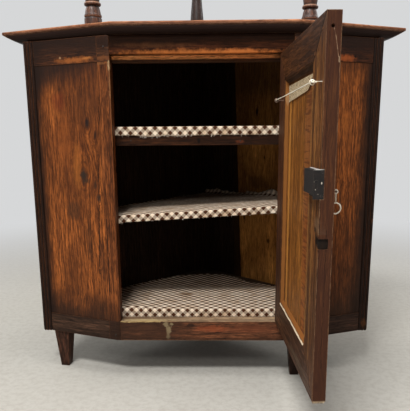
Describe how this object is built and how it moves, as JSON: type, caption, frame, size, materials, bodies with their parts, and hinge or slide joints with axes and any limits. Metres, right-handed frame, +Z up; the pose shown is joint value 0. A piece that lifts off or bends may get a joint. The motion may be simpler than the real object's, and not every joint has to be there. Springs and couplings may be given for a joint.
{
  "type": "corner cupboard base",
  "caption": "Free-standing corner cupboard base: canted front with one framed door on hinges, cloth-lined shelves, tapered legs and turned columns standing on its top.",
  "frame": {"origin": "on the floor, under the middle of the part's extent with the door open as stored", "axes": "+X to the right along the front, as seen from in front, +Y back toward the rear corner, +Z up"},
  "size_m": [1.068, 1.0974, 1.1403],
  "materials": {
    "oak_red": "polished reddish-brown oak",
    "oak_dark": "polished dark oak",
    "oak_brown": "worn brown oak",
    "honey_wood": "honey-brown polished wood",
    "shade_wood": "dark unpolished boards",
    "pine_wood": "light unpolished pine",
    "gingham": "brown and cream checked cotton",
    "black_iron": "blackened iron, worn bright at the edges",
    "pale_metal": "pale plated wire",
    "cream_tape": "cream ribbed tape"
  },
  "bodies": {
    "cabinet": {"back_board_left_1": "shade_wood", "back_board_left_2": "shade_wood", "back_board_left_3": "shade_wood", "back_board_right_1": "shade_wood", "back_board_right_2": "pine_wood", "back_board_right_3": "shade_wood", "base_rail_front": "oak_red", "base_rail_left": "oak_dark", "base_rail_right": "oak_dark", "bottom_board": "oak_brown", "bottom_cleat_left": "shade_wood", "bottom_cleat_right": "shade_wood", "cloth_bottom": "gingham", "cloth_middle": "gingham", "cloth_upper": "gingham", "column_left": "oak_dark", "column_rear": "oak_dark", "column_right": "oak_dark", "frieze_front": "oak_dark", "frieze_left": "oak_dark", "frieze_right": "oak_dark", "head_stop": "oak_brown", "hinge_lower_frame_leaf": "black_iron", "hinge_lower_pin": "black_iron", "hinge_upper_frame_leaf": "black_iron", "hinge_upper_pin": "black_iron", "leg_left": "oak_red", "leg_rear": "oak_dark", "leg_right": "oak_red", "middle_cleat_left": "shade_wood", "middle_cleat_right": "shade_wood", "post_left": "oak_dark", "post_right": "oak_dark", "shelf_middle": "oak_brown", "shelf_upper": "oak_brown", "shelf_upper_rail": "oak_brown", "stile_left": "oak_red", "stile_right": "oak_red", "top_board": "oak_red", "upper_cleat_left": "shade_wood", "upper_cleat_right": "shade_wood", "wing_panel_left": "oak_red", "wing_panel_right": "oak_red"},
    "door": {"curtain_wire": "pale_metal", "door_panel": "honey_wood", "door_rail_bottom": "oak_brown", "door_rail_top": "oak_brown", "door_stile_free": "oak_brown", "door_stile_hinge": "oak_brown", "hinge_lower_door_leaf": "black_iron", "hinge_upper_door_leaf": "black_iron", "keyhole_plate": "black_iron", "lock_case": "black_iron", "lock_plate": "black_iron", "pull_staple": "black_iron", "ribbed_tape": "cream_tape", "wire_eye": "pale_metal", "wire_hook": "pale_metal"},
    "bolt": {"lock_bolt": "black_iron"},
    "pull": {"pull_ring": "pale_metal"}
  },
  "joints": [
    {"name": "door_hinge", "type": "hinge", "parent": "cabinet", "child": "door", "pos_m": [0.226, -0.09425, 0.517], "axis": [0, 0, 1], "range_deg": [-92.6, 77.4]},
    {"name": "bolt_slide", "type": "slide", "parent": "door", "child": "bolt", "axis": [0.0454, -0.999, 0], "range_m": [0, 0.009]},
    {"name": "pull_swing", "type": "hinge", "parent": "door", "child": "pull", "pos_m": [0.25227, -0.50749, 0.565], "axis": [-0.0454, 0.999, 0], "range_deg": [-90, 1.5]}
  ]
}
